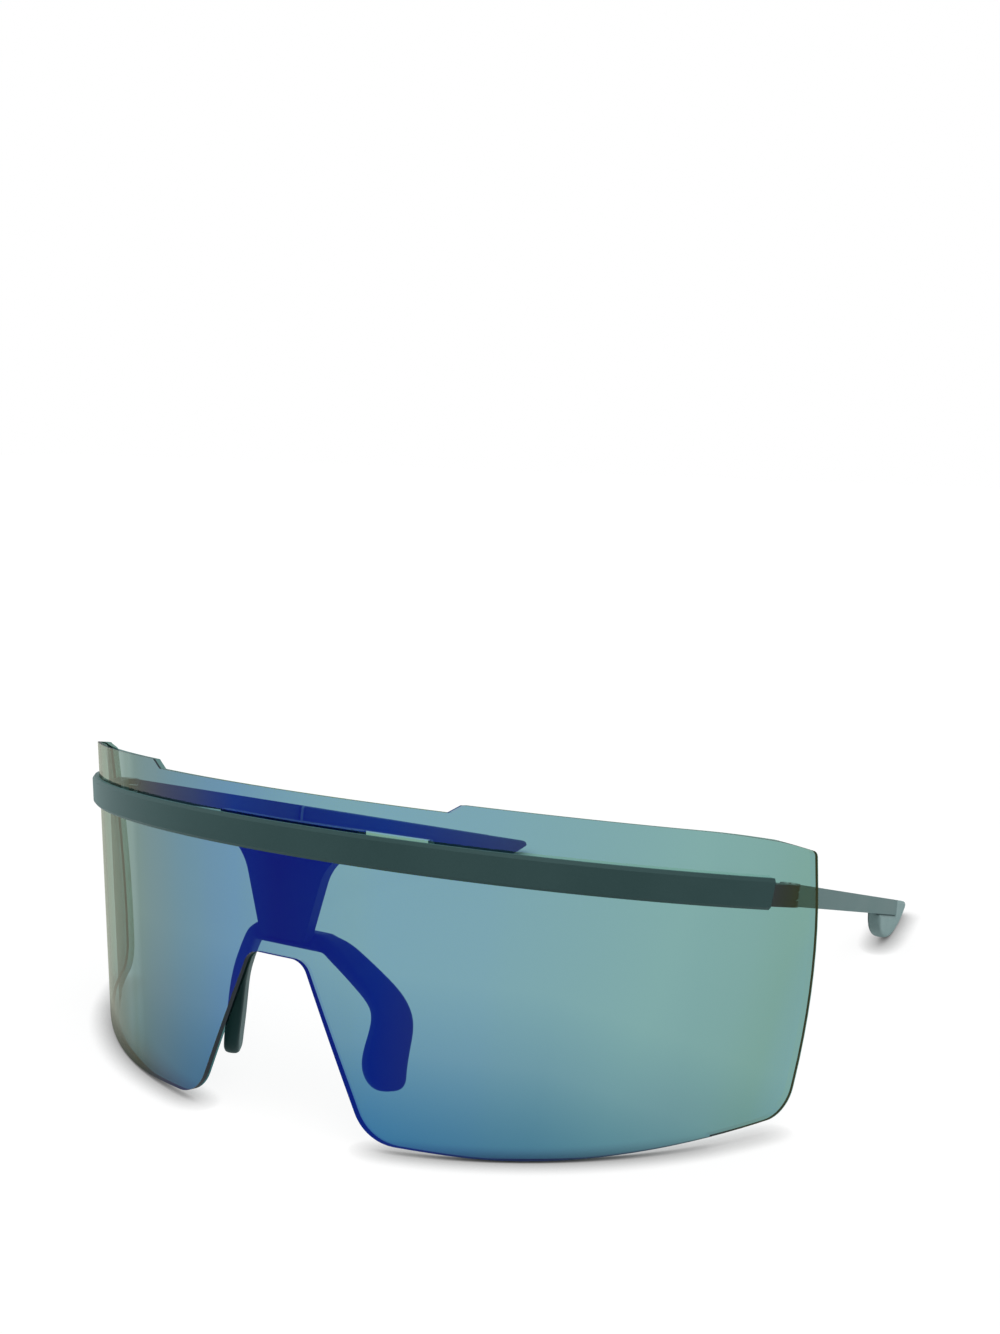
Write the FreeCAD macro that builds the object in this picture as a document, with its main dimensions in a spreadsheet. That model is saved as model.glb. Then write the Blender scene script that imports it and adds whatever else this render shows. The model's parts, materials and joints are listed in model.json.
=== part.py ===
import FreeCAD, Part
import Sketcher
import math
import os

Vector = FreeCAD.Vector
Placement = FreeCAD.Placement
Rotation = FreeCAD.Rotation

# Build frame: the wearer looks along -Y, +Z is up, and the Z axis is the axis of the curved front.
# Height zero is the middle of the brow bar. The finished part is then laid on its lens and tips.
UP = Vector(0, 0, 1)
ACROSS = Vector(1, 0, 0)

# Driving dimensions: lengths in millimetres, angles in degrees, shares plain
SIZES = {
    # Curved front and lens
    "front_radius": 82.7,
    "slope_share": 0.16,
    "lens_thickness": 1.7,
    "lens_half_angle": 63.5,
    "lens_spare_angle": 3,
    "lens_rise": 8.8,
    "notch_half_width": 29.8,
    "notch_depth": 1.4,
    "notch_run": 2,
    "top_bend_inset": 11,
    "top_bend_round": 60,
    "top_shoulder_inset": 4,
    "top_shoulder_fall": 0.7,
    "top_shoulder_round": 20,
    "top_end_lean_share": 0.37,
    "end_run": 12,
    "end_top_reach": -4.2,
    "end_top_rise": 7,
    "end_top_lean_share": 0.18,
    "end_top_corner": 1.5,
    "end_bulge_reach": 2.5,
    "end_bulge_drop": 14,
    "end_bulge_round": 100,
    "end_low_reach": 2.2,
    "end_low_drop": 36,
    "end_low_lean_share": 0.23,
    "end_low_corner": 5.5,
    "lobe_drop": 45.3,
    "lobe_flat_end": 29,
    "lobe_inner_corner": 7,
    "nose_cut_rise": 18.7,
    "nose_cut_half_top": 5.2,
    "nose_cut_half_bottom": 16.7,
    "nose_cut_corner": 3,
    # Brow bar
    "bar_height": 5,
    "bar_thickness": 1.2,
    "bar_inset_angle": 8.3,
    "bar_top_bevel": 0.6,
    "bar_low_bevel": 0.45,
    "bar_bevel_depth": 0.4,
    # Fasteners through the lens
    "seat_gap": 0.05,
    "weld_gap": 0.02,
    "post_radius": 1.1,
    "post_seat": 0.8,
    "post_bottom_share": 0.4,
    "bushing_radius": 1.6,
    "lens_screw_radius": 0.55,
    "lens_screw_reach": 2.3,
    "lens_screw_head_radius": 1.05,
    "lens_screw_head": 0.55,
    "driver_slot": 0.3,
    "fit_gap": 0.05,
    "end_post_inset_angle": 12.2,
    "end_post_pitch_angle": 4,
    "bridge_post_angle": 5.6,
    # End blocks and hinges
    "block_middle": -0.5,
    "block_height": 3.6,
    "block_depth": 2.2,
    "block_span_angle": 12.2,
    "hinge_inset_angle": 3.2,
    "hinge_lens_gap": 0.2,
    "barrel_radius": 1.6,
    "knuckle_height": 1,
    "slot_gap": 0.35,
    "hinge_screw_radius": 0.6,
    "hinge_screw_head_radius": 1,
    "hinge_screw_head": 0.45,
    "running_gap": 0.03,
    "washer_thickness": 0.2,
    "washer_gap": 0.05,
    # Temple arms
    "temple_converge_angle": 7.3,
    "temple_droop_angle": 5.3,
    "arm_length": 121,
    "arm_root_height": 3.6,
    "arm_end_height": 3.4,
    "arm_thickness": 1.3,
    "neck_height": 0.9,
    # Temple tips
    "liner_start": 49,
    "tip_lobe_start": 97,
    "tip_lobe_low": 112,
    "tip_end": 137,
    "tip_lobe_drop": 5.1,
    "tip_end_rise": 1.1,
    "tip_backing": 1.5,
    # Nose bracket
    "bracket_depth": 2.2,
    "bracket_half_width": 13.3,
    "bracket_rise": 2.7,
    "bracket_shoulder_drop": 2.1,
    "bracket_shoulder_half": 9.8,
    "bracket_waist_drop": 4.6,
    "bracket_waist_half": 7.5,
    "bracket_waist_round": 8,
    "bracket_foot_drop": 16.2,
    "bracket_foot_half": 4.2,
    # Nose saddle
    "saddle_setback": 7.7,
    "saddle_drop": 16.05,
    "saddle_height": 2.9,
    "saddle_depth": 4,
    "saddle_half_width": 6.5,
    "saddle_lead": 1.4,
    "saddle_round": 1,
    "pad_reach": 15.1,
    "pad_setback": 15.3,
    "pad_top_drop": 26.5,
    "pad_bottom_drop": 38.6,
    "pad_lead": 2.4,
    "pad_width": 7.7,
    "pad_thickness": 2.6,
    "pad_splay_angle": 30,
    "overrun": 5,
}

# Saddle arms in even steps, then the pad's sections: shares of its fall, width, thickness and lean
ARM_STEPS = 5
PAD_NECK_SHARE = 0.9
PAD_SHARES = (
    (0.4, 1, 1, 0),
    (0.78, 0.95, 1, 0),
    (0.95, 0.7, 0.95, 0.08),
    (1, 0.3, 0.85, 0.08),
)

doc = FreeCAD.newDocument("shield_sunglasses")
sheet = doc.addObject("Spreadsheet::Sheet", "Sizes")
placed = []
nodes = {}


def fill_sheet():
    for row, (name, value) in enumerate(SIZES.items(), start=1):
        sheet.set(f"A{row}", name)
        sheet.set(f"B{row}", str(value))
        sheet.setAlias(f"B{row}", name)
    doc.recompute()


def size(name):
    return float(sheet.get(name))


def place(item, frame):
    """Put an object at a frame and remember it, because the whole part is laid down later."""
    item.Placement = frame
    placed.append(item)
    return item


def moved(x=0, y=0, z=0):
    return Placement(Vector(x, y, z), Rotation())


def turned(angle, axis=UP):
    return Placement(Vector(), Rotation(axis, angle))


def bound(kind, name, frame, **sizes):
    """A primitive whose sizes follow sheet expressions."""
    item = doc.addObject(kind, name)
    for key, expression in sizes.items():
        item.setExpression(key, expression)
    return place(item, frame)


def cylinder(name, frame, radius, height):
    return bound("Part::Cylinder", name, frame, Radius=radius, Height=height)


def joined(name, items):
    fuse = doc.addObject("Part::MultiFuse", name)
    fuse.Shapes = items
    return fuse


def cut(name, base, tool):
    item = doc.addObject("Part::Cut", name)
    item.Base = base
    item.Tool = tool
    return item


def node(label, item):
    item.Label = label
    nodes[label] = item
    return item


def group(label, items):
    """Identical loose pieces that share one node."""
    compound = doc.addObject("Part::Compound", label)
    compound.Links = items
    return node(label, compound)


def mirrored(label, source):
    item = doc.addObject("Part::Mirroring", label)
    item.Source = source
    item.Normal = ACROSS
    return node(label, item)


def pair(name, item):
    """The wearer's left piece lies at +X and the right one is its mirror image."""
    node(f"left_{name}", item)
    mirrored(f"right_{name}", item)


def shape_node(label, shape, frame=Placement()):
    item = doc.addObject("Part::Feature", label)
    item.Shape = shape
    return node(label, place(item, frame))


def polygon_sketch(body, role, name, corners):
    """A closed polygon on an origin plane; each corner is a pair of sheet expressions."""
    sketch = body.newObject("Sketcher::SketchObject", name)
    plane = next(item for item in body.Origin.OriginFeatures if item.Role == role)
    sketch.AttachmentSupport = [(plane, "")]
    sketch.MapMode = "FlatFace"
    spots = [Vector(*(float(sketch.evalExpression(text)) for text in corner), 0) for corner in corners]
    for index, spot in enumerate(spots):
        sketch.addGeometry(Part.LineSegment(spot, spots[(index + 1) % len(spots)]))
    for index, corner in enumerate(corners):
        after = (index + 1) % len(corners)
        sketch.addConstraint(Sketcher.Constraint("Coincident", index, 2, after, 1))
        for kind, expression, value in zip(("DistanceX", "DistanceY"), corner, spots[index]):
            number = sketch.addConstraint(Sketcher.Constraint(kind, -1, 1, index, 1, value))
            sketch.setExpression(f"Constraints[{number}]", expression)
    return sketch


def wrapped_body(name, corners, wrap, frame):
    """A bar bent round the axis of the front: a section on the YZ plane turned by an angle."""
    body = doc.addObject("PartDesign::Body", name)
    sketch = polygon_sketch(body, "YZ_Plane", f"{name}_section", corners)
    turn = body.newObject("PartDesign::Revolution", f"{name}_turn")
    turn.Profile = sketch
    turn.ReferenceAxis = (sketch, ["V_Axis"])
    turn.Midplane = True
    turn.setExpression("Angle", wrap)
    return place(body, frame)


def rounded_wire(corners):
    """A closed wire in the XZ plane through (x, z, radius) corners, each rounded by an arc."""
    spots = [Vector(x, 0, z) for x, z, _ in corners]
    edges = []
    ends = []
    for index, (_, _, radius) in enumerate(corners):
        spot = spots[index]
        before = (spots[index - 1] - spot).normalize()
        after = (spots[(index + 1) % len(spots)] - spot).normalize()
        half = before.getAngle(after) / 2
        reach = radius / math.tan(half)
        start = spot + before * reach
        stop = spot + after * reach
        if radius:
            middle = spot + (before + after).normalize() * (radius / math.sin(half) - radius)
            edges.append((index, Part.Arc(start, middle, stop).toShape()))
        ends.append((start, stop))
    for index, (start, stop) in enumerate(ends):
        edges.append((index + 0.5, Part.makeLine(stop, ends[(index + 1) % len(ends)][0])))
    return Part.Wire([edge for _, edge in sorted(edges, key=lambda item: item[0])])


def both_sides(half):
    """A symmetric outline from the corners of its +X half, listed from top to bottom."""
    return half + [(-x, z, radius) for x, z, radius in reversed(half)]


def front_prism(wire):
    """The outline carried straight back from in front of the lens to the axis."""
    reach = size("front_radius") + size("overrun") * 2
    face = Part.Face(wire)
    face.translate(Vector(0, -reach, 0))
    return face.extrude(Vector(0, reach, 0))


def cone_solid(depth, low, high):
    """The cone that lies a depth inside the outer face of the lens, between two heights."""
    slope = size("slope_share")
    inset = depth * math.hypot(1, slope)
    base = size("front_radius") - inset
    cone = Part.makeCone(base + slope * low, base + slope * high, high - low)
    cone.translate(Vector(0, 0, low))
    return cone


def cone_shell(outer_depth, inner_depth, low, high):
    return cone_solid(outer_depth, low, high).cut(cone_solid(inner_depth, low, high))


def sector(half_angle, low, high):
    """A wedge about the front's axis that trims a shell with radial ends."""
    reach = (size("front_radius") + size("overrun")) / math.cos(math.radians(half_angle))
    side = reach * math.sin(math.radians(half_angle))
    front = -reach * math.cos(math.radians(half_angle))
    corners = [Vector(), Vector(side, front, 0), Vector(-side, front, 0), Vector()]
    wedge = Part.Face(Part.makePolygon(corners)).extrude(Vector(0, 0, high - low))
    wedge.translate(Vector(0, 0, low))
    return wedge


def lens_frame(angle, height):
    """A frame on the outer face of the lens whose Z axis points straight into the lens."""
    slope = size("slope_share")
    radius = size("front_radius") + slope * height
    out_x = math.sin(math.radians(angle))
    out_y = -math.cos(math.radians(angle))
    inward = Vector(-out_x, -out_y, slope)
    return Placement(Vector(radius * out_x, radius * out_y, height), Rotation(UP, inward))


def end_stations(side):
    """Places of the two fasteners of an end block; side is 1 at +X and -1 at -X."""
    middle = size("lens_half_angle") - size("end_post_inset_angle")
    half = size("end_post_pitch_angle") / 2
    return [lens_frame(side * angle, size("block_middle")) for angle in (middle - half, middle + half)]


def bridge_stations():
    return [lens_frame(side * size("bridge_post_angle"), 0) for side in (-1, 1)]


def code_cylinder(frame, radius, start, stop):
    tube = Part.makeCylinder(radius, stop - start, Vector(0, 0, start))
    tube.Placement = frame.multiply(tube.Placement)
    return tube


def drilled(shape, frames, radius, start, stop):
    for frame in frames:
        shape = shape.cut(code_cylinder(frame, radius, start, stop))
    return shape


# Lens

def lens_outline():
    """The face of the shield from the front: notched top, nose cut and the flat of the two lobes."""
    end = size("front_radius") * math.sin(math.radians(size("lens_half_angle")))
    far = end + size("overrun")
    rise = size("lens_rise")
    low = -size("lobe_drop")
    notch = size("notch_half_width")
    shoulder = end - size("top_shoulder_inset")
    shoulder_rise = rise - size("top_shoulder_fall")
    half = [
        (notch - size("notch_run"), rise - size("notch_depth"), 0),
        (notch, rise, 0),
        (end - size("top_bend_inset"), rise, size("top_bend_round")),
        (shoulder, shoulder_rise, size("top_shoulder_round")),
        (far, shoulder_rise - (far - shoulder) * size("top_end_lean_share"), 0),
        (far, low, 0),
        (size("nose_cut_half_bottom"), low, size("lobe_inner_corner")),
        (size("nose_cut_half_top"), -size("nose_cut_rise"), size("nose_cut_corner")),
    ]
    return rounded_wire(both_sides(half))


def end_outline():
    """The end of the lens at +X, seen square on: two rounded corners and a bulging edge between them."""
    near = -size("end_run") - size("overrun")
    top_reach = size("end_top_reach")
    top = size("end_top_rise")
    low_reach = size("end_low_reach")
    low = -size("end_low_drop")
    return rounded_wire([
        (near, top + (top_reach - near) * size("end_top_lean_share"), 0),
        (top_reach, top, size("end_top_corner")),
        (size("end_bulge_reach"), -size("end_bulge_drop"), size("end_bulge_round")),
        (low_reach, low, size("end_low_corner")),
        (near, low - (low_reach - near) * size("end_low_lean_share"), 0),
    ])


def end_waste():
    """What is trimmed off the lens at +X, square to its end."""
    near = -size("end_run")
    far = size("front_radius") * math.radians(size("lens_spare_angle")) + size("overrun")
    top = size("lens_rise") + size("overrun")
    low = -size("lobe_drop") - size("overrun")
    block = rounded_wire([(near, top, 0), (far, top, 0), (far, low, 0), (near, low, 0)])
    waste = front_prism(block).cut(front_prism(end_outline()))
    waste.rotate(Vector(), UP, size("lens_half_angle"))
    return waste


def low_corner_half():
    """Half the width of the front at the lower corners of the lens ends."""
    radius = size("front_radius") - size("slope_share") * size("end_low_drop")
    spare = math.asin(size("end_low_reach") / radius)
    return radius * math.sin(math.radians(size("lens_half_angle")) + spare)


def lobe_waste():
    """What is trimmed away below the lobe at +X: an arc leaves its flat smoothly and ends at the corner."""
    run = low_corner_half() - size("lobe_flat_end")
    rise = size("lobe_drop") - size("end_low_drop")
    radius = (run * run + rise * rise) / (2 * rise)
    turn = math.asin(run / radius)
    start = Vector(size("lobe_flat_end"), 0, -size("lobe_drop"))
    spots = [start + Vector(radius * math.sin(angle), 0, radius * (1 - math.cos(angle)))
             for angle in (0, turn / 2, turn)]
    arc = Part.Arc(*spots).toShape()
    past = spots[2] + Vector(math.cos(turn), 0, math.sin(turn)) * size("overrun")
    floor = start.z - size("overrun")
    corners = [spots[2], past, Vector(past.x, 0, floor), Vector(start.x, 0, floor), start]
    return front_prism(Part.Wire([arc] + Part.makePolygon(corners).Edges))


def make_lens():
    low = -size("lobe_drop") - size("overrun")
    high = size("lens_rise") + size("overrun")
    shell = cone_shell(0, size("lens_thickness"), low, high)
    lens = shell.common(sector(size("lens_half_angle") + size("lens_spare_angle"), low, high))
    lens = lens.common(front_prism(lens_outline()))
    for waste in (lobe_waste(), end_waste()):
        lens = lens.cut(waste).cut(waste.mirror(Vector(), ACROSS))
    stations = end_stations(1) + end_stations(-1) + bridge_stations()
    hole = size("bushing_radius") + size("fit_gap")
    lens = drilled(lens, stations, hole, -size("overrun"), size("overrun"))
    shape_node("shield_lens", lens)


# Brow bar and what fastens it through the lens

def outward(depth, height):
    """Sheet expression of a point in front of the lens at a height, on the YZ plane."""
    lean = "sqrt(1 + Sizes.slope_share * Sizes.slope_share)"
    return f"-(Sizes.front_radius + Sizes.slope_share * ({height}) + ({depth}) * {lean})"


def make_bar():
    half = "Sizes.bar_height / 2"
    rear = "Sizes.seat_gap"
    face = "Sizes.seat_gap + Sizes.bar_thickness"
    edge = f"{face} - Sizes.bar_bevel_depth"
    points = [
        (rear, f"-{half}"),
        (edge, f"-{half}"),
        (face, f"-{half} + Sizes.bar_low_bevel"),
        (face, f"{half} - Sizes.bar_top_bevel"),
        (edge, half),
        (rear, half),
    ]
    corners = [(outward(depth, height), height) for depth, height in points]
    wrap = "2 * (Sizes.lens_half_angle - Sizes.bar_inset_angle)"
    node("brow_bar", wrapped_body("bar", corners, wrap, Placement()))


def make_post(name, frame):
    """A threaded post on the back of the bar; the thread itself is a plain bore."""
    stack = "Sizes.seat_gap * 2 - Sizes.weld_gap + Sizes.lens_thickness + Sizes.post_seat"
    start = frame.multiply(moved(z=size("weld_gap") - size("seat_gap")))
    stem = cylinder(f"{name}_stem", start, "Sizes.post_radius", stack)
    bottom = start.multiply(moved(z=size("post_bottom_share") * size("lens_thickness")))
    bore = cylinder(f"{name}_bore", bottom, "Sizes.lens_screw_radius + Sizes.fit_gap",
                    f"{stack} + Sizes.overrun")
    return cut(name, stem, bore)


def make_bushing(name, frame):
    start = frame.multiply(moved(z=size("fit_gap")))
    length = "Sizes.lens_thickness - Sizes.fit_gap * 2"
    ring = cylinder(f"{name}_ring", start, "Sizes.bushing_radius", length)
    bore = cylinder(f"{name}_bore", frame, "Sizes.post_radius + Sizes.fit_gap", "Sizes.lens_thickness")
    return cut(name, ring, bore)


def make_lens_screw(name, frame, depth):
    """A slotted screw from behind: its head is sunk in a piece of the given depth."""
    seat = f"Sizes.lens_thickness + Sizes.seat_gap + {depth} - Sizes.lens_screw_head"
    level = sheet_value(seat)
    reach = size("lens_screw_reach")
    shank = cylinder(f"{name}_shank", frame.multiply(moved(z=level - reach)),
                     "Sizes.lens_screw_radius", "Sizes.lens_screw_reach")
    head = cylinder(f"{name}_head", frame.multiply(moved(z=level)),
                    "Sizes.lens_screw_head_radius", "Sizes.lens_screw_head")
    top = frame.multiply(moved(z=level + size("lens_screw_head")))
    slot = driver_slot(f"{name}_slot", top, "lens_screw_head_radius", "lens_screw_head")
    return cut(name, joined(f"{name}_blank", [shank, head]), slot)


def driver_slot(name, top, radius, head):
    """The screwdriver slot across the top of a head, half as deep as the head."""
    corner = moved(-size(radius) * 2, -size("driver_slot") / 2, -size(head) / 2)
    return bound("Part::Box", name, top.multiply(corner), Length=f"Sizes.{radius} * 4",
                 Width="Sizes.driver_slot", Height=f"Sizes.{head}")


def sheet_value(expression):
    return float(sheet.evalExpression(expression))


def make_lens_fasteners():
    ends = {"left": end_stations(1), "right": end_stations(-1)}
    stations = ends["left"] + ends["right"] + bridge_stations()
    group("bar_posts", [make_post(f"post_{number}", frame) for number, frame in enumerate(stations)])
    for side, frames in ends.items():
        bushings = [make_bushing(f"{side}_bushing_{number}", frame) for number, frame in enumerate(frames)]
        group(f"{side}_lens_bushings", bushings)
        screws = [make_lens_screw(f"{side}_screw_{number}", frame, "Sizes.block_depth")
                  for number, frame in enumerate(frames)]
        group(f"{side}_end_screws", screws)
    frames = bridge_stations()
    group("bridge_lens_bushings", [make_bushing(f"bridge_bushing_{number}", frame)
                                   for number, frame in enumerate(frames)])
    group("bridge_screws", [make_lens_screw(f"bridge_screw_{number}", frame, "Sizes.bracket_depth")
                            for number, frame in enumerate(frames)])


def fastener_holes(name, frame, depth):
    """Socket for a post, clearance for a screw and the recess for its head."""
    start = frame.multiply(moved(z=size("lens_thickness")))
    through = f"Sizes.overrun + {depth}"
    recess = sheet_value(f"Sizes.lens_thickness + Sizes.seat_gap + {depth} - Sizes.lens_screw_head")
    return [
        cylinder(f"{name}_socket", start, "Sizes.post_radius + Sizes.fit_gap",
                 "Sizes.seat_gap + Sizes.post_seat + Sizes.fit_gap * 2"),
        cylinder(f"{name}_way", start, "Sizes.lens_screw_radius + Sizes.fit_gap", through),
        cylinder(f"{name}_recess", frame.multiply(moved(z=recess)),
                 "Sizes.lens_screw_head_radius + Sizes.fit_gap", through),
    ]


# End blocks and hinges

def hinge_frame():
    """The hinge of the +X temple: Z along the pin and X along the open temple."""
    low = size("block_middle") - size("block_height") / 2
    skin = size("lens_thickness") * math.hypot(1, size("slope_share"))
    inner = size("front_radius") + size("slope_share") * low - skin
    radius = inner - size("hinge_lens_gap") - size("barrel_radius")
    angle = math.radians(size("lens_half_angle") - size("hinge_inset_angle"))
    spot = Vector(radius * math.sin(angle), -radius * math.cos(angle), size("block_middle"))
    return Placement(spot, Rotation(UP, 90 + size("temple_converge_angle")))


def make_end_block():
    top = "Sizes.block_middle + Sizes.block_height / 2"
    low = "Sizes.block_middle - Sizes.block_height / 2"
    outer = "-(Sizes.lens_thickness + Sizes.seat_gap)"
    inner = f"{outer} - Sizes.block_depth"
    points = [(outer, low), (outer, top), (inner, top), (inner, low)]
    corners = [(outward(depth, height), height) for depth, height in points]
    middle = size("lens_half_angle") - size("hinge_inset_angle") - size("block_span_angle") / 2
    bar = wrapped_body("end_bar", corners, "Sizes.block_span_angle", turned(middle))
    hinge = hinge_frame()
    foot = hinge.multiply(moved(z=-size("block_height") / 2))
    barrel = cylinder("end_barrel", foot, "Sizes.barrel_radius", "Sizes.block_height")
    slot = cylinder("end_slot", foot.multiply(moved(z=size("knuckle_height"))),
                    "Sizes.barrel_radius + Sizes.slot_gap", "Sizes.block_height - Sizes.knuckle_height * 2")
    bore = cylinder("end_bore", foot.multiply(moved(z=-size("overrun"))),
                    "Sizes.hinge_screw_radius + Sizes.weld_gap", "Sizes.block_height + Sizes.overrun * 2")
    recess = cylinder("end_recess", foot.multiply(moved(z=size("block_height") - size("hinge_screw_head"))),
                      "Sizes.hinge_screw_head_radius + Sizes.fit_gap", "Sizes.block_height")
    holes = [slot, bore, recess]
    for number, frame in enumerate(end_stations(1)):
        holes += fastener_holes(f"end_hole_{number}", frame, "Sizes.block_depth")
    pair("end_block", cut("end_block", joined("end_blank", [bar, barrel]), joined("end_holes", holes)))


def make_hinge_screw():
    foot = hinge_frame().multiply(moved(z=-size("block_height") / 2))
    under = "Sizes.block_height - Sizes.hinge_screw_head"
    shank = cylinder("hinge_shank", foot, "Sizes.hinge_screw_radius", under)
    head = cylinder("hinge_head", foot.multiply(moved(z=sheet_value(under))),
                    "Sizes.hinge_screw_head_radius", "Sizes.hinge_screw_head")
    top = foot.multiply(moved(z=size("block_height")))
    slot = driver_slot("hinge_slot", top, "hinge_screw_head_radius", "hinge_screw_head")
    pair("hinge_screw", cut("hinge_screw", joined("hinge_blank", [shank, head]), slot))


def make_washers():
    """Thin slip washers above and below the temple's barrel."""
    reach = size("block_height") / 2 - size("knuckle_height") - size("washer_gap")
    rings = []
    for name, level in (("upper", reach - size("washer_thickness")), ("lower", -reach)):
        frame = hinge_frame().multiply(moved(z=level))
        ring = cylinder(f"{name}_ring", frame, "Sizes.barrel_radius - Sizes.fit_gap",
                        "Sizes.washer_thickness")
        hole = cylinder(f"{name}_eye", frame, "Sizes.hinge_screw_radius + Sizes.running_gap",
                        "Sizes.washer_thickness")
        rings.append(cut(f"{name}_washer", ring, hole))
    washers = doc.addObject("Part::Compound", "hinge_washers")
    washers.Links = rings
    pair("hinge_washers", washers)


# Temples

def make_arm():
    """A flat strip that droops towards the ear, with the middle knuckle of the hinge."""
    root = "Sizes.barrel_radius + Sizes.slot_gap * 2"
    fall = "tan(Sizes.temple_droop_angle)"
    corners = []
    for reach, height, side in (
        (root, "Sizes.arm_root_height", "-"),
        ("Sizes.arm_length", "Sizes.arm_end_height", "-"),
        ("Sizes.arm_length", "Sizes.arm_end_height", "+"),
        (root, "Sizes.arm_root_height", "+"),
    ):
        corners.append((reach, f"-({reach}) * {fall} {side} {height} / 2"))
    body = doc.addObject("PartDesign::Body", "arm_strip")
    sketch = polygon_sketch(body, "XZ_Plane", "arm_side", corners)
    pad = body.newObject("PartDesign::Pad", "arm_pad")
    pad.Profile = sketch
    pad.Midplane = True
    pad.setExpression("Length", "Sizes.arm_thickness")
    hinge = hinge_frame()
    place(body, hinge)
    washers = "(Sizes.washer_thickness * 2 + Sizes.washer_gap * 4)"
    tall = f"(Sizes.block_height - Sizes.knuckle_height * 2 - {washers})"
    foot = hinge.multiply(moved(z=-sheet_value(tall) / 2))
    barrel = cylinder("arm_barrel", foot, "Sizes.barrel_radius", tall)
    corner = moved(0, -size("arm_thickness") / 2, -size("neck_height") / 2)
    neck = bound("Part::Box", "arm_neck", hinge.multiply(corner), Length=f"({root}) * 2",
                 Width="Sizes.arm_thickness", Height="Sizes.neck_height")
    bore = cylinder("arm_bore", foot.multiply(moved(z=-size("overrun"))),
                    "Sizes.hinge_screw_radius + Sizes.running_gap", f"{tall} + Sizes.overrun * 2")
    pair("temple_arm", cut("temple_arm", joined("arm_blank", [body, neck, barrel]), bore))


def arm_level(reach, side=0):
    """Height of the strip's middle line, or of its upper or lower edge, at a reach from the hinge."""
    taper = (size("arm_end_height") - size("arm_root_height")) / size("arm_length")
    height = size("arm_root_height") + taper * min(reach, size("arm_length"))
    return -reach * math.tan(math.radians(size("temple_droop_angle"))) + side * height / 2


def side_prism(wire, start, stop):
    """A side outline of the temple given thickness from one depth to another."""
    face = Part.Face(wire)
    face.translate(Vector(0, start, 0))
    return face.extrude(Vector(0, stop - start, 0))


def tip_outline():
    """Liner behind the strip that widens into a rounded paddle below and past its end."""
    def spot(reach, side, drop=0):
        return Vector(reach, 0, arm_level(reach, side) - drop)
    start = size("tip_lobe_start")
    low = size("tip_lobe_low")
    end = size("tip_end")
    drop = size("tip_lobe_drop")
    swell_share, swell_drop_share = 0.08, 0.46
    round_share, round_drop_share = 0.42, 0.89
    rise_share, rise_drop_share = 0.55, 0.5
    front = spot(start, -1)
    swell = spot(start + (low - start) * swell_share, -1, drop * swell_drop_share)
    belly = spot(start + (low - start) * round_share, -1, drop * round_drop_share)
    bottom = spot(low, -1, drop)
    rise = spot(low + (end - low) * rise_share, -1, drop * rise_drop_share)
    rear = spot(end, 1, size("tip_end_rise"))
    crown = spot(end - size("tip_end_rise"), 1)
    paddle = Part.BSplineCurve()
    paddle.interpolate([front, swell, belly, bottom, rise, rear])
    rest = [rear, crown, spot(size("liner_start"), 1), spot(size("liner_start"), -1), front]
    return Part.Wire([paddle.toShape()] + Part.makePolygon(rest).Edges)


def strip_envelope():
    """Room for the strip in the tip's outer face, cleared by the fit gap."""
    gap = size("fit_gap")
    start = size("liner_start") - size("overrun")
    stop = size("arm_length") + gap
    corners = [
        Vector(start, 0, arm_level(start, 1) + size("overrun")),
        Vector(stop, 0, arm_level(stop, 1) + size("overrun")),
        Vector(stop, 0, arm_level(stop, -1) - gap),
        Vector(start, 0, arm_level(start, -1) - gap),
    ]
    wire = Part.makePolygon(corners + corners[:1])
    half = size("arm_thickness") / 2
    return side_prism(wire, -half - size("overrun"), half + gap)


def make_tip():
    half = size("arm_thickness") / 2
    blank = side_prism(tip_outline(), -half, half + size("tip_backing"))
    tip = doc.addObject("Part::Feature", "temple_tip")
    tip.Shape = blank.cut(strip_envelope())
    pair("temple_tip", place(tip, hinge_frame()))


# Nose piece

def bracket_outline(gap=0):
    half = [
        (size("bracket_half_width") + gap, size("bracket_rise") + gap, 0),
        (size("bracket_half_width") + gap, -size("bracket_shoulder_drop"), 0),
        (size("bracket_shoulder_half") + gap, -size("bracket_shoulder_drop"), 0),
        (size("bracket_waist_half") + gap, -size("bracket_waist_drop"), size("bracket_waist_round")),
        (size("bracket_foot_half") + gap, -size("bracket_foot_drop") - gap, 0),
    ]
    return rounded_wire(both_sides(half))


def bracket_shape(gap=0):
    """A plate that follows the back of the lens, from behind the bar down to the nose."""
    outer = size("lens_thickness") + size("seat_gap")
    low = -size("bracket_foot_drop") - size("overrun")
    high = size("bracket_rise") + size("overrun")
    shell = cone_shell(outer - gap, outer + size("bracket_depth") + gap, low, high)
    return shell.common(front_prism(bracket_outline(gap)))


def make_bracket():
    stations = bridge_stations()
    front = size("lens_thickness")
    back = front + size("seat_gap") + size("bracket_depth")
    gap = size("fit_gap")
    socket = front + size("seat_gap") + size("post_seat") + gap * 2
    plate = drilled(bracket_shape(), stations, size("post_radius") + gap, front, socket)
    plate = drilled(plate, stations, size("lens_screw_radius") + gap, front, back + size("overrun"))
    head = size("lens_screw_head_radius") + gap
    plate = drilled(plate, stations, head, back - size("lens_screw_head"), back + size("overrun"))
    shape_node("nose_bracket", plate)


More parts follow.
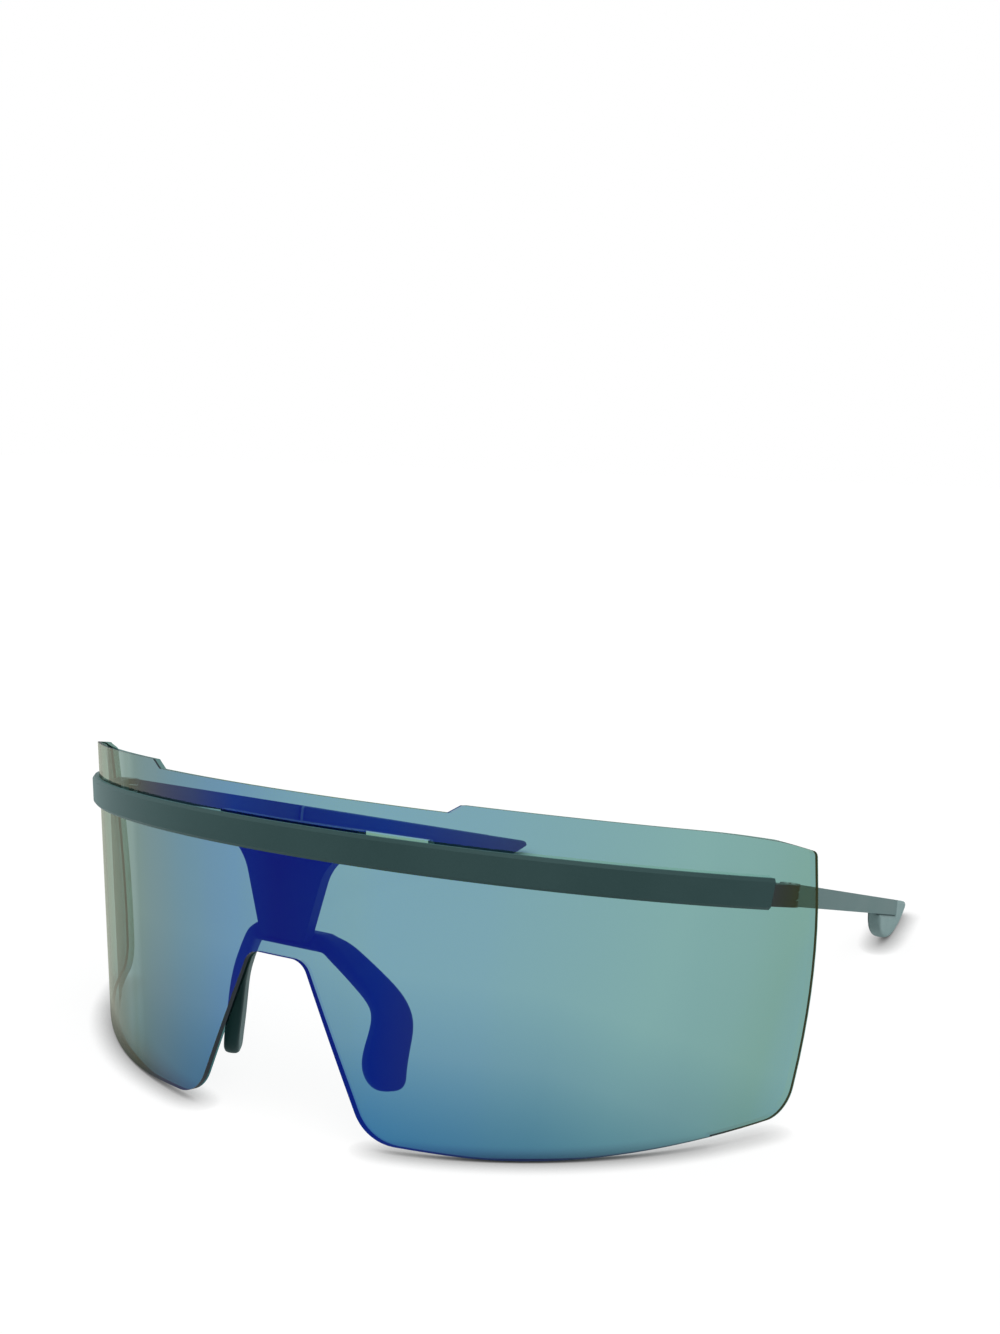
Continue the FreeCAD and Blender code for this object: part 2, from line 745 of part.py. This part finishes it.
def rounded_section(centre, wide, tall, width, height):
    """A section with rounded corners and its sides along two unit directions."""
    rounding = size("saddle_round")
    inner_wide = wide * (width / 2 - rounding)
    inner_tall = tall * (height / 2 - rounding)
    edges = []
    ends = []
    for across, along in ((-1, -1), (1, -1), (1, 1), (-1, 1)):
        pivot = centre + inner_wide * across + inner_tall * along
        out = [wide * (across * rounding), tall * (along * rounding)]
        if across == along:
            out.reverse()
        middle = (out[0] + out[1]) * math.sqrt(0.5)
        edges.append(Part.Arc(pivot + out[1], pivot + middle, pivot + out[0]).toShape())
        ends.append((pivot + out[1], pivot + out[0]))
    wire = []
    for index, edge in enumerate(edges):
        wire += [edge, Part.makeLine(ends[index][1], ends[(index + 1) % len(ends)][0])]
    return Part.Wire(wire)


def saddle_arm(shoulder, pad_top):
    """Sections along the arm, which leaves the bridge sideways and meets the pad from above."""
    splay = math.radians(size("pad_splay_angle"))
    back = Vector(0, 1, 0)
    turn = Vector(math.sin(splay), math.cos(splay), 0) - back
    outward = Vector(math.cos(splay), -math.sin(splay), 0)
    path = Part.BezierCurve()
    path.setPoles([shoulder, shoulder + ACROSS * size("saddle_lead"),
                   pad_top + UP * size("pad_lead"), pad_top])
    widening = size("pad_width") * PAD_NECK_SHARE - size("saddle_depth")
    thinning = size("pad_thickness") - size("saddle_height")
    sections = []
    for step in range(ARM_STEPS + 1):
        share = step / ARM_STEPS
        ease = share * share * (3 - 2 * share)
        lean = math.pi / 2 * share
        tall = UP * math.cos(lean) + outward * math.sin(lean)
        wide = back + turn * share
        wide = (wide - tall * wide.dot(tall)).normalize()
        sections.append(rounded_section(path.value(share), wide, tall,
                                        size("saddle_depth") + widening * ease,
                                        size("saddle_height") + thinning * ease))
    return sections


def saddle_pad(pad_top, pad_low):
    """Sections down the pad, which narrows to a rounded end that leans back."""
    splay = math.radians(size("pad_splay_angle"))
    wide = Vector(math.sin(splay), math.cos(splay), 0)
    tall = Vector(math.cos(splay), -math.sin(splay), 0)
    sections = []
    for fall_share, width_share, thick_share, lean_share in PAD_SHARES:
        centre = pad_top + (pad_low - pad_top) * fall_share + wide * (size("pad_width") * lean_share)
        sections.append(rounded_section(centre, wide, tall, size("pad_width") * width_share,
                                        size("pad_thickness") * thick_share))
    return sections


def saddle_half():
    """The +X half of the saddle: a level bridge, an arm and a splayed pad."""
    apex = -size("front_radius")
    bridge = Vector(0, apex + size("saddle_setback"), -size("saddle_drop"))
    shoulder = bridge + ACROSS * size("saddle_half_width")
    pad_top = Vector(size("pad_reach"), apex + size("pad_setback"), -size("pad_top_drop"))
    pad_low = Vector(size("pad_reach"), apex + size("pad_setback"), -size("pad_bottom_drop"))
    middle = rounded_section(bridge, Vector(0, 1, 0), UP, size("saddle_depth"), size("saddle_height"))
    sections = saddle_arm(shoulder, pad_top) + saddle_pad(pad_top, pad_low)
    straight = Part.makeLoft([middle, sections[0]], True, True)
    return straight.fuse(Part.makeLoft(sections, True))


def make_saddle():
    half = saddle_half()
    saddle = half.fuse(half.mirror(Vector(), ACROSS)).removeSplitter()
    shape_node("nose_saddle", saddle.cut(bracket_shape(size("fit_gap"))))


# Laying the part down on its lens and its tips

def mesh_points(labels):
    tolerance = size("fit_gap")
    points = []
    for label in labels:
        points += nodes[label].Shape.tessellate(tolerance)[0]
    return points


def lowest(points, pitch):
    return min(point.z * math.cos(pitch) - point.y * math.sin(pitch) for point in points)


def rest_pitch():
    """The backward pitch at which the lens and the tips stand on one level."""
    lens = mesh_points(["shield_lens"])
    tips = mesh_points(["left_temple_tip"])
    low, high = 0, math.pi / 4
    for _ in range(60):
        pitch = (low + high) / 2
        if lowest(tips, pitch) > lowest(lens, pitch):
            low = pitch
        else:
            high = pitch
    return math.degrees(pitch)


def move_all(change):
    for item in placed:
        item.Placement = change.multiply(item.Placement)
    doc.recompute()


def lay_down():
    pitch = rest_pitch()
    move_all(turned(-pitch, ACROSS))
    box = FreeCAD.BoundBox()
    for item in nodes.values():
        box.add(item.Shape.optimalBoundingBox(False))
    shift = moved(-box.Center.x, -box.Center.y, -box.ZMin)
    move_all(shift)
    return shift.multiply(turned(-pitch, ACROSS))


def check_and_export():
    for item in doc.Objects:
        if "Invalid" in item.State or "Error" in item.State:
            raise RuntimeError(f"{item.Label} failed: {item.State}")
    for label, item in nodes.items():
        if item.Shape.isNull() or not item.Shape.isValid():
            raise RuntimeError(f"{label} has no valid shape")
    os.makedirs("parts", exist_ok=True)
    for label, item in nodes.items():
        item.Shape.exportStep(f"parts/{label}.step")
        print(label, "solids", len(item.Shape.Solids), "volume", round(item.Shape.Volume, 2))


fill_sheet()
make_lens()
make_bar()
make_lens_fasteners()
make_end_block()
make_hinge_screw()
make_washers()
make_arm()
make_tip()
make_bracket()
make_saddle()
doc.recompute()
laid = lay_down()
check_and_export()
pin = laid.multiply(hinge_frame())
print("left hinge at", pin.Base, "along", pin.Rotation.multVec(UP))
print("laid at", laid.Base)
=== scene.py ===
import json
import math

import bpy
import numpy as np
from mathutils import Matrix, Vector


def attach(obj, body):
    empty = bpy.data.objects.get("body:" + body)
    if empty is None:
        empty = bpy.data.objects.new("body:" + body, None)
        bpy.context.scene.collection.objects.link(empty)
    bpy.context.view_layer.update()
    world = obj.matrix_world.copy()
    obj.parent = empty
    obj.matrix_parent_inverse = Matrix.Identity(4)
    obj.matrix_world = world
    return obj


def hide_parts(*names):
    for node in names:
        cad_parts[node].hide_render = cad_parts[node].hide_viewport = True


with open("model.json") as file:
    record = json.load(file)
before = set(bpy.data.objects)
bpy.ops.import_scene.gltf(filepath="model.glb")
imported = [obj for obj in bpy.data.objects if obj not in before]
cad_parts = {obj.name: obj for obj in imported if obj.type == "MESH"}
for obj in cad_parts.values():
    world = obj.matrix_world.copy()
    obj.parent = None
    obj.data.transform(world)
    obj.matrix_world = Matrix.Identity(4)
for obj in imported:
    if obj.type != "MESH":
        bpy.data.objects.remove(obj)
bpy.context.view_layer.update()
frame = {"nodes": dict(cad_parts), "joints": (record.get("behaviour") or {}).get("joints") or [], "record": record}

# Camera: angles in degrees, place in metres, lens and sensor in millimetres
CAMERA_AZIMUTH = 29.39
CAMERA_ELEVATION = 8.42
CAMERA_ROLL = 1.14
CAMERA_PLACE = (0.15357, -0.28936, 0.11243)
CAMERA_LENS = 45.0
CAMERA_SENSOR = 36.0
CAMERA_NEAR = 0.01

# Studio: lengths in metres, sun angles in degrees
FLOOR_SIZE = 6.0
FLOOR_COLOUR = (0.62, 0.62, 0.62)
FLOOR_LIFT_SHARE = 0.75
FLOOR_LIFT = 1.17
# Painted contact shadow: the floor's glow is dimmed by ambient occlusion within this reach of the object
PAINTED_SHADOW_REACH = 0.0045
PAINTED_SHADOW_POWER = 1.4
PAINTED_SHADOW_SAMPLES = 8
WORLD_COLOUR = (1, 1, 1)
WORLD_LIGHT = 0.6
WORLD_BRIGHT = 1.0
KEY_SUN = {"towards": (-0.45, 0.35, -0.8), "strength": 1.1, "angle": 40}
FILL_SUN = {"towards": (0.6, 0.45, -0.65), "strength": 0.5, "angle": 60}

# Materials: stops are a place from 0 to 1 and a linear colour, noises are a grain in metres and octaves
# Bumps are a depth in metres and a strength, roughnesses are ranges

# Lens tinting from the nose to the ends; darker low down, partly as painted shade of the shadowed floor behind;
# painted shade at a slanting sight, with a painted reflection at the most glancing ones
TINT_STOPS = (
    (0.0, (0.434, 0.605, 0.53)), (0.15, (0.432, 0.59, 0.49)), (0.38, (0.417, 0.584, 0.548)),
    (0.56, (0.42, 0.593, 0.551)), (0.75, (0.426, 0.608, 0.562)), (1.0, (0.48, 0.672, 0.597)),
)
HEIGHT_TINT_AND_PAINTED_SHADE_RAMP = (
    (0.0, (0.47, 0.7, 0.79)), (0.28, (0.86, 0.91, 0.95)), (0.5, (1.0, 1.0, 1.0)), (1.0, (1.0, 1.0, 1.0)),
)
SLANT_PAINTED_SHADE_AND_REFLECTION_STOPS = (
    (0.12, (1.0, 1.0, 1.0)), (0.296, (0.872, 0.882, 0.951)), (0.368, (0.823, 0.852, 1.009)),
    (0.446, (0.795, 0.83, 0.958)), (0.528, (0.81, 0.81, 0.876)), (0.668, (0.82, 0.785, 0.835)),
    (0.7, (1.12, 0.98, 1.06)), (0.76, (1.12, 0.98, 1.05)), (0.85, (0.85, 0.78, 0.8)),
)
# Past this share, towards the ends, the height is lifted, so the painted shade low down fades there
LIFT_START = 0.5
LEVEL_LIFT = 0.45
FACING_BLEND = 0.5

# Mirror coating: blue at the nose, olive at the ends and at a slant, pale at a glancing sight
COAT_STOPS = (
    (0.0, (0.004, 0.004, 0.147)), (0.2, (0.003, 0.012, 0.182)), (0.42, (0.022, 0.026, 0.112)),
    (0.715, (0.034, 0.031, 0.066)), (0.9, (0.032, 0.031, 0.026)), (1.0, (0.03, 0.03, 0.008)),
)
SHIFT_START = 0.22
SHIFT_SHARE = 1.3
INNER_COAT = (0.006, 0.009, 0.011)
GLANCE_COLOUR = (0.52, 0.54, 0.46)
GLANCE_POWER = 4.2
GLANCE_SHARE = 0.86
LENS_SMEAR = (0.012, 4.0)
LENS_ROUGHNESS = (0.02, 0.06)
LENS_WAVE = (0.02, 2.0)
LENS_WAVE_BUMP = (0.000005, 0.1)

# Cut rim of the lens: shares of half the wall, measured from its middle
RIM_SHARE = 0.88
EDGE_DARK_START = -0.65
EDGE_DARK_GROWTH = 1.0
EDGE_FINISH = {"Base Color": (0.008, 0.018, 0.026), "Roughness": 0.5, "Specular IOR Level": 0.1}

# Paint, and the small bevel on its edges: width in metres, angle in degrees
PAINT_STOPS = ((0.3, (0.021, 0.047, 0.047)), (0.7, (0.032, 0.064, 0.064)))
PAINT_FLAKE = (0.00012, 1.0)
PAINT_CLOUD = (0.015, 3.0)
FLAKE_SHARE = 0.5
PAINT_PEEL = (0.0005, 2.0)
PAINT_BUMP = (0.00002, 0.25)
PAINT_ROUGHNESS = (0.44, 0.54)
PAINT_GLOSS = {
    "Specular IOR Level": 0.2, "Specular Tint": (0.62, 0.95, 0.95),
    "Sheen Weight": 0.15, "Sheen Tint": (0.4, 1.0, 1.0),
}
PAINT_BEVEL = 0.00012
BEVEL_ANGLE = 35
BEVEL_SEGMENTS = 2

# Rubber: faces turned to the head are dark, and the tips are paler outside, a painted highlight where the light
# falls on their outer faces
RUBBER_STOPS = ((0.3, (0.008, 0.028, 0.028)), (0.7, (0.013, 0.036, 0.036)))
TIP_PAINTED_HIGHLIGHT_STOPS = ((0.3, (0.17, 0.25, 0.25)), (0.7, (0.19, 0.275, 0.275)))
INNER_FACE = -0.6
OUTER_FACE = -0.1
RUBBER_GRAIN = (0.00025, 3.0)
RUBBER_CLOUD = (0.008, 3.0)
RUBBER_BUMP = (0.00003, 0.35)
RUBBER_ROUGHNESS = (0.5, 0.68)
RUBBER_GLOSS = {
    "Specular IOR Level": 0.15, "Specular Tint": (0.6, 0.95, 0.95),
    "Sheen Weight": 0.25, "Sheen Roughness": 0.4, "Sheen Tint": (0.55, 0.9, 0.9),
}

# Rounding of the rubber pieces: voxel in metres, then each piece's smoothing passes and material
SOFT_VOXEL = 0.00022
SOFT_FACTOR = 0.5
SOFT_FINISH = {
    "nose_saddle": (14, "saddle_rubber"),
    "left_temple_tip": (60, "tip_rubber"),
    "right_temple_tip": (60, "tip_rubber"),
}

# Steel and nylon
STEEL_STOPS = ((0.3, (0.46, 0.46, 0.45)), (0.7, (0.62, 0.62, 0.61)))
STEEL_MARKS = (0.00008, 4.0)
STEEL_BUMP = (0.00001, 0.3)
STEEL_ROUGHNESS = (0.22, 0.38)
NYLON_STOPS = ((0.3, (0.66, 0.67, 0.64)), (0.7, (0.78, 0.79, 0.76)))
NYLON_CLOUD = (0.0006, 3.0)
NYLON_BUMP = (0.00002, 0.2)
NYLON_ROUGHNESS = (0.4, 0.55)

# Axes of the front, which leans with its hinges
ACROSS = Vector((1, 0, 0))
UP = Vector(frame["joints"][0]["axis"]).normalized()
BACK = UP.cross(ACROSS)


class Shader:
    """A node tree with a short way to add and link nodes."""

    def __init__(self, owner):
        owner.use_nodes = True
        self.tree = owner.node_tree
        self.tree.nodes.clear()

    def feed(self, socket, value):
        if isinstance(value, bpy.types.NodeSocket):
            self.tree.links.new(value, socket)
        elif socket.type == "RGBA":
            socket.default_value = (*value, 1)
        else:
            socket.default_value = value

    def add(self, kind, inputs, **settings):
        node = self.tree.nodes.new(f"ShaderNode{kind}")
        for name, value in settings.items():
            setattr(node, name, value)
        for name, value in inputs.items():
            self.feed(node.inputs[name], value)
        return node

    def math(self, operation, *values):
        return self.add("Math", dict(enumerate(values)), operation=operation).outputs[0]

    def dot(self, vector, direction):
        node = self.add("VectorMath", {0: vector, 1: tuple(direction)}, operation="DOT_PRODUCT")
        return node.outputs["Value"]

    def place(self):
        return self.add("TexCoord", {}).outputs["Object"]

    def noise(self, grain, octaves):
        """Noise whose features are about a grain across, in metres."""
        inputs = {"Vector": self.place(), "Scale": 1 / grain, "Detail": octaves}
        return self.add("TexNoise", inputs).outputs["Fac"]

    def ramp(self, factor, stops):
        node = self.add("ValToRGB", {"Fac": factor})
        band = node.color_ramp
        while len(band.elements) < len(stops):
            band.elements.new(1.0)
        for element, (spot, colour) in zip(band.elements, stops):
            element.position = spot
            element.color = (*colour, 1)
        return node.outputs["Color"]

    def blend(self, factor, first, second, kind="MIX"):
        """Two colours mixed."""
        node = self.add("Mix", {}, data_type="RGBA", blend_type=kind)
        sockets = {socket.identifier: socket for socket in node.inputs}
        self.feed(sockets["Factor_Float"], factor)
        self.feed(sockets["A_Color"], first)
        self.feed(sockets["B_Color"], second)
        return next(socket for socket in node.outputs if socket.identifier == "Result_Color")

    def times(self, first, second):
        """The product of two colours."""
        return self.blend(1.0, first, second, "MULTIPLY")

    def between(self, value, low, high):
        """0 at the low value, 1 at the high one."""
        return self.add("MapRange", {"Value": value, "From Min": low, "From Max": high}).outputs["Result"]

    def span(self, factor, low, high):
        """A 0 to 1 value carried to a range."""
        return self.add("MapRange", {"Value": factor, "To Min": low, "To Max": high}).outputs["Result"]

    def past(self, value, start):
        """How far a value lies past a start, or zero."""
        return self.math("MAXIMUM", self.math("SUBTRACT", value, start), 0.0)

    def bump(self, height, depth, strength):
        inputs = {"Height": height, "Distance": depth, "Strength": strength}
        return self.add("Bump", inputs).outputs["Normal"]

    def principled(self, inputs):
        return self.add("BsdfPrincipled", inputs).outputs[0]

    def sum(self, first, second):
        return self.add("AddShader", {0: first, 1: second}).outputs[0]

    def mix(self, factor, first, second):
        return self.add("MixShader", {0: factor, 1: first, 2: second}).outputs[0]

    def finish(self, surface, kind="Material"):
        self.add(f"Output{kind}", {"Surface": surface})


def new_material(name):
    material = bpy.data.materials.new(name)
    return material, Shader(material)


# Camera and studio

def rotation(angle, axis):
    """A turn about an axis as a placement, which is a 4 by 4 matrix."""
    return Matrix.Rotation(angle, 4, axis)


def make_camera():
    data = bpy.data.cameras.new("camera")
    data.lens = CAMERA_LENS
    data.sensor_width = CAMERA_SENSOR
    data.clip_start = CAMERA_NEAR
    camera = bpy.data.objects.new("camera", data)
    bpy.context.collection.objects.link(camera)
    turn = rotation(math.radians(CAMERA_AZIMUTH), "Z")
    tilt = rotation(math.pi / 2 - math.radians(CAMERA_ELEVATION), "X")
    roll = rotation(math.radians(CAMERA_ROLL), "Z")
    camera.matrix_world = Matrix.Translation(CAMERA_PLACE) @ turn @ tilt @ roll
    bpy.context.scene.camera = camera


def seen_directly(shader):
    """1 for rays from the camera, in mirrors and through glass."""
    path = shader.add("LightPath", {})
    glossy = shader.math("MAXIMUM", path.outputs["Is Glossy Ray"], path.outputs["Is Transmission Ray"])
    return shader.math("MAXIMUM", path.outputs["Is Camera Ray"], glossy)


def floor_material():
    """Pale grey that looks white when seen, with a painted contact shadow where the object stands: its glow dims
    by ambient occlusion, while its diffuse part keeps the cast shadow.
    """
    material, shader = new_material("studio_floor")
    diffuse = shader.add("BsdfDiffuse", {"Color": FLOOR_COLOUR}).outputs[0]
    inputs = {"Distance": PAINTED_SHADOW_REACH}
    open_sky = shader.add("AmbientOcclusion", inputs, samples=PAINTED_SHADOW_SAMPLES).outputs["AO"]
    # The painted contact shadow: the glow fades where the ambient occlusion is low
    clear = shader.math("POWER", open_sky, PAINTED_SHADOW_POWER)
    glow = shader.add("Emission", {"Strength": shader.math("MULTIPLY", clear, FLOOR_LIFT)}).outputs[0]
    lifted = shader.math("MULTIPLY", seen_directly(shader), FLOOR_LIFT_SHARE)
    shader.finish(shader.mix(lifted, diffuse, glow))
    return material


def make_floor():
    bpy.ops.mesh.primitive_plane_add(size=FLOOR_SIZE)
    floor = bpy.context.object
    floor.name = "studio_floor"
    floor.data.materials.append(floor_material())


def make_world():
    """A white room, dimmer as a lamp than as a sight."""
    world = bpy.data.worlds.new("studio")
    bpy.context.scene.world = world
    shader = Shader(world)
    strength = shader.span(seen_directly(shader), WORLD_LIGHT, WORLD_BRIGHT)
    inputs = {"Color": WORLD_COLOUR, "Strength": strength}
    shader.finish(shader.add("Background", inputs).outputs[0], "World")


def make_sun(name, towards, strength, angle):
    data = bpy.data.lights.new(name, "SUN")
    data.energy = strength
    data.angle = math.radians(angle)
    sun = bpy.data.objects.new(name, data)
    sun.rotation_euler = Vector(towards).to_track_quat("-Z", "Y").to_euler()
    bpy.context.collection.objects.link(sun)


# Lens

def fit_front():
    """Centre, radius and slope of the cone half way through the lens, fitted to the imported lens."""
    points = np.array([vertex.co for vertex in frame["nodes"]["shield_lens"].data.vertices])
    across = points @ np.array(ACROSS)
    back = points @ np.array(BACK)
    up = points @ np.array(UP)
    columns = np.stack([2 * back, np.ones(len(points)), up, up ** 2], axis=1)
    centre, base, lean, _ = np.linalg.lstsq(columns, across ** 2 + back ** 2, rcond=None)[0]
    radius = math.sqrt(base + centre ** 2)
    slope = lean / (2 * radius)
    depth = np.hypot(across, back - centre) - radius - slope * up
    angle = np.arctan2(np.abs(across), centre - back)
    return {"centre": centre, "radius": radius, "slope": slope, "skin": np.abs(depth).max(),
            "low": up.min(), "high": up.max(), "end": angle.max()}


def lens_spot(shader, front):
    """A point's shares of the angle and of the height, and its depth from the middle of the wall."""
    place = shader.place()
    across = shader.dot(place, ACROSS)
    up = shader.dot(place, UP)
    ahead = shader.math("SUBTRACT", front["centre"], shader.dot(place, BACK))
    angle = shader.math("ABSOLUTE", shader.math("ARCTAN2", across, ahead))
    squares = shader.math("MULTIPLY_ADD", ahead, ahead, shader.math("MULTIPLY", across, across))
    wall = shader.math("MULTIPLY_ADD", up, front["slope"], front["radius"])
    share = shader.math("DIVIDE", angle, front["end"])
    level = shader.between(up, front["low"], front["high"])
    depth = shader.math("SUBTRACT", shader.math("SQRT", squares), wall)
    return share, level, depth


def lens_tint_and_painted_light(shader, share, level, facing):
    """What the plastic lets through: less low down, partly as painted shade, more at the ends, with painted shade
    at a slant and a painted reflection at the most glancing sights.
    """
    level = shader.math("MULTIPLY_ADD", shader.past(share, LIFT_START), LEVEL_LIFT, level)
    tint_and_painted_light = shader.times(shader.ramp(share, TINT_STOPS), shader.ramp(level, HEIGHT_TINT_AND_PAINTED_SHADE_RAMP))
    return shader.times(tint_and_painted_light, shader.ramp(facing, SLANT_PAINTED_SHADE_AND_REFLECTION_STOPS))


def lens_face(shader, share, outer, facing, through):
    """Polished plastic with a mirror coating outside and a faint one inside."""
    polish = {
        "Roughness": shader.span(shader.noise(*LENS_SMEAR), *LENS_ROUGHNESS),
        "Normal": shader.bump(shader.noise(*LENS_WAVE), *LENS_WAVE_BUMP),
    }
    coat = shader.math("MULTIPLY_ADD", shader.past(facing, SHIFT_START), SHIFT_SHARE, share)
    mirror = shader.add("BsdfGlossy", {"Color": shader.ramp(coat, COAT_STOPS), **polish}).outputs[0]
    inside = shader.add("BsdfGlossy", {"Color": INNER_COAT, **polish}).outputs[0]
    glance = shader.add("BsdfGlossy", {"Color": GLANCE_COLOUR, **polish}).outputs[0]
    grazing = shader.math("MULTIPLY", shader.math("POWER", facing, GLANCE_POWER), GLANCE_SHARE)
    face = shader.sum(through, shader.mix(outer, inside, mirror))
    return shader.mix(shader.math("MULTIPLY", grazing, outer), face, glance)


def lens_material():
    """Tinted plastic with a mirror coating, and a rim that is dark along its outer edge."""
    front = fit_front()
    material, shader = new_material("mirror_lens")
    share, level, depth = lens_spot(shader, front)
    facing = shader.add("LayerWeight", {"Blend": FACING_BLEND}).outputs["Facing"]
    # The see-through colour carries painted shade low down and at a slant, and a painted reflection at a glancing
    # sight
    tint_and_painted_light = lens_tint_and_painted_light(shader, share, level, facing)
    through = shader.add("BsdfTransparent", {"Color": tint_and_painted_light}).outputs[0]
    outer = shader.math("GREATER_THAN", depth, 0.0)
    face = lens_face(shader, share, outer, facing, through)
    rim = shader.math("LESS_THAN", shader.math("ABSOLUTE", depth), front["skin"] * RIM_SHARE)
    far = shader.math("MAXIMUM", share, level)
    line = shader.math("MULTIPLY_ADD", far, EDGE_DARK_GROWTH, EDGE_DARK_START)
    dark = shader.math("GREATER_THAN", depth, shader.math("MULTIPLY", line, front["skin"]))
    edge = shader.principled(EDGE_FINISH)
    shader.finish(shader.mix(rim, face, shader.mix(dark, through, edge)))
    return material


# Other materials

def paint_material():
    """Satin paint over metal: fine flake and a slight orange peel."""
    material, shader = new_material("frame_paint")
    flake = shader.noise(*PAINT_FLAKE)
    cloud = shader.noise(*PAINT_CLOUD)
    tone = shader.math("MULTIPLY_ADD", cloud, 1 - FLAKE_SHARE, shader.math("MULTIPLY", flake, FLAKE_SHARE))
    shader.finish(shader.principled({
        "Base Color": shader.ramp(tone, PAINT_STOPS), "Roughness": shader.span(cloud, *PAINT_ROUGHNESS),
        "Normal": shader.bump(shader.noise(*PAINT_PEEL), *PAINT_BUMP), **PAINT_GLOSS,
    }))
    return material


def painted_highlight_side(shader):
    """0 on faces turned to the head, 1 on the others, where the tips get their painted highlight."""
    spot = shader.add("TexCoord", {}).outputs
    side = shader.math("SIGN", shader.dot(spot["Object"], ACROSS))
    outward = shader.math("MULTIPLY", shader.dot(spot["Normal"], ACROSS), side)
    return shader.between(outward, INNER_FACE, OUTER_FACE)


def rubber_material(name, outer_stops):
    """Matt moulded rubber with a fine grain; faces turned away from the head take the outer colours, which on the
    tips are a painted highlight.
    """
    material, shader = new_material(name)
    grain = shader.noise(*RUBBER_GRAIN)
    cloud = shader.noise(*RUBBER_CLOUD)
    inner = shader.ramp(cloud, RUBBER_STOPS)
    shader.finish(shader.principled({
        "Base Color": shader.blend(painted_highlight_side(shader), inner, shader.ramp(cloud, outer_stops)),
        "Roughness": shader.span(grain, *RUBBER_ROUGHNESS),
        "Normal": shader.bump(grain, *RUBBER_BUMP), **RUBBER_GLOSS,
    }))
    return material


def steel_material():
    """Turned steel with fine tool marks."""
    material, shader = new_material("bright_steel")
    marks = shader.noise(*STEEL_MARKS)
    shader.finish(shader.principled({
        "Base Color": shader.ramp(marks, STEEL_STOPS), "Roughness": shader.span(marks, *STEEL_ROUGHNESS),
        "Normal": shader.bump(marks, *STEEL_BUMP), "Metallic": 1.0,
    }))
    return material


def nylon_material():
    """Natural nylon, slightly mottled."""
    material, shader = new_material("nylon")
    cloud = shader.noise(*NYLON_CLOUD)
    shader.finish(shader.principled({
        "Base Color": shader.ramp(cloud, NYLON_STOPS), "Roughness": shader.span(cloud, *NYLON_ROUGHNESS),
        "Normal": shader.bump(cloud, *NYLON_BUMP),
    }))
    return material


# Pieces

def dress(node, material):
    piece = frame["nodes"][node]
    piece.data.materials.clear()
    piece.data.materials.append(material)
    return piece


def round_edges(piece):
    """A small bevel on the sharp edges, so that they catch the light."""
    bevel = piece.modifiers.new("edge_rounding", "BEVEL")
    bevel.width = PAINT_BEVEL
    bevel.segments = BEVEL_SEGMENTS
    bevel.limit_method = "ANGLE"
    bevel.angle_limit = math.radians(BEVEL_ANGLE)
    piece.modifiers.new("edge_normals", "WEIGHTED_NORMAL").keep_sharp = True


def rounded_mesh(piece, passes):
    """The mesh of a piece with all its edges rounded."""
    remesh = piece.modifiers.new("voxels", "REMESH")
    remesh.mode = "VOXEL"
    remesh.voxel_size = SOFT_VOXEL
    smooth = piece.modifiers.new("rounding", "SMOOTH")
    smooth.factor = SOFT_FACTOR
    smooth.iterations = passes
    bpy.context.view_layer.update()
    solid = piece.evaluated_get(bpy.context.evaluated_depsgraph_get())
    mesh = bpy.data.meshes.new_from_object(solid)
    piece.modifiers.clear()
    return mesh


def soften(node, body, passes, material):
    """A moulded rubber piece in place of its CAD solid."""
    piece = bpy.data.objects.new(f"{node}_rubber", frame["nodes"][node].data.copy())
    bpy.context.collection.objects.link(piece)
    mesh = rounded_mesh(piece, passes)
    piece.data = mesh
    mesh.materials.clear()
    mesh.materials.append(material)
    mesh.polygons.foreach_set("use_smooth", [True] * len(mesh.polygons))
    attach(piece, body)
    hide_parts(node)


def dress_bodies():
    materials = {
        "mirror_lens": lens_material(),
        "frame_paint": paint_material(),
        "saddle_rubber": rubber_material("saddle_rubber", RUBBER_STOPS),
        # The tips' rubber carries a painted highlight on its outer faces
        "tip_rubber": rubber_material("tip_rubber", TIP_PAINTED_HIGHLIGHT_STOPS),
        "bright_steel": steel_material(),
        "nylon": nylon_material(),
    }
    slots = {part["node"]: part["material_slot"] for part in frame["record"]["subparts"]}
    for body, members in frame["record"]["behaviour"]["bodies"].items():
        for node in members:
            if node in SOFT_FINISH:
                passes, rubber = SOFT_FINISH[node]
                soften(node, body, passes, materials[rubber])
                continue
            piece = dress(node, materials[slots[node]])
            if slots[node] == "frame_paint":
                round_edges(piece)


bpy.context.scene.view_settings.view_transform = "Standard"
make_camera()
make_floor()
make_world()
make_sun("key", **KEY_SUN)
make_sun("fill", **FILL_SUN)
dress_bodies()
